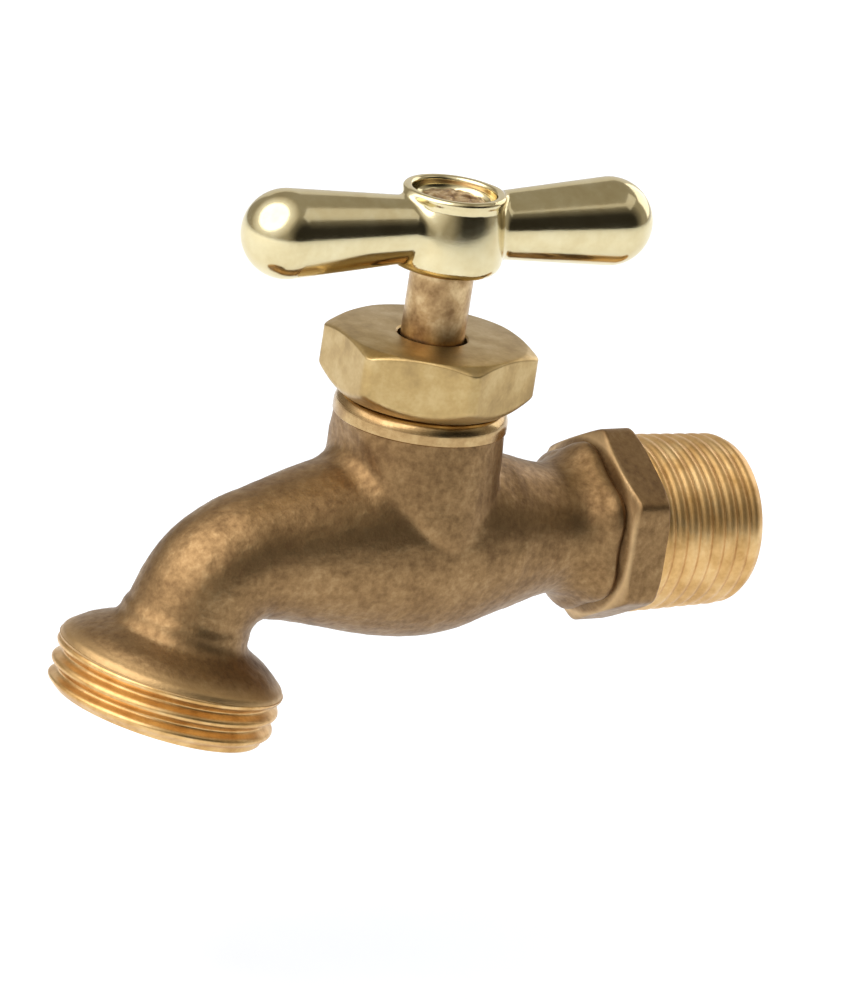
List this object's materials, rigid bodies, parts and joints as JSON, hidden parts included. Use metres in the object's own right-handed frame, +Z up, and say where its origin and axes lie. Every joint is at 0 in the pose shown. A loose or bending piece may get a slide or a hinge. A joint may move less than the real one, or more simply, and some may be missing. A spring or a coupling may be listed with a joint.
{
  "type": "hose bib",
  "caption": "Compact brass hose bib: male pipe inlet with wrench hexagon, round body with neck and packing nut, rising stem with tee handle, down-turned spout with male hose thread.",
  "frame": {"origin": "centre of the inlet pipe thread's end face, on the inlet's axis, where the part meets the wall's pipe", "axes": "+Y along the inlet towards the pipe, +Z up along the stem, +X to the right of someone who faces the wall; the spout is at -Y"},
  "size_m": [0.027, 0.0875, 0.0657],
  "materials": {
    "cast_brass": "sand-cast brass, matte and fine-grained, with bright machined threads and collar",
    "machined_brass": "turned brass, satin",
    "polished_brass": "polished pale brass plate",
    "graphite_packing": "graphited braided packing",
    "black_rubber": "matte black rubber"
  },
  "bodies": {
    "valve": {"valve_body": "cast_brass", "packing_washer": "machined_brass", "packing_ring_lower": "graphite_packing", "packing_ring_upper": "graphite_packing", "packing_gland": "machined_brass", "packing_nut": "machined_brass"},
    "seat_disc": {"seat_washer": "black_rubber"},
    "handle": {"stem": "machined_brass", "washer_screw": "machined_brass", "tee_handle": "polished_brass"}
  },
  "joints": [
    {"name": "stem_lift", "type": "slide", "parent": "valve", "child": "seat_disc", "axis": [0, 0, 1], "range_m": [0, 0.00635]},
    {"name": "handle_turn", "type": "hinge", "parent": "seat_disc", "child": "handle", "pos_m": [0, -0.0447, 0], "axis": [0, 0, 1], "range_deg": [0, 900]}
  ],
  "couplings": [
    {"joint": "stem_lift", "follows": "handle_turn", "m_per_rad": 0.00040425}
  ]
}
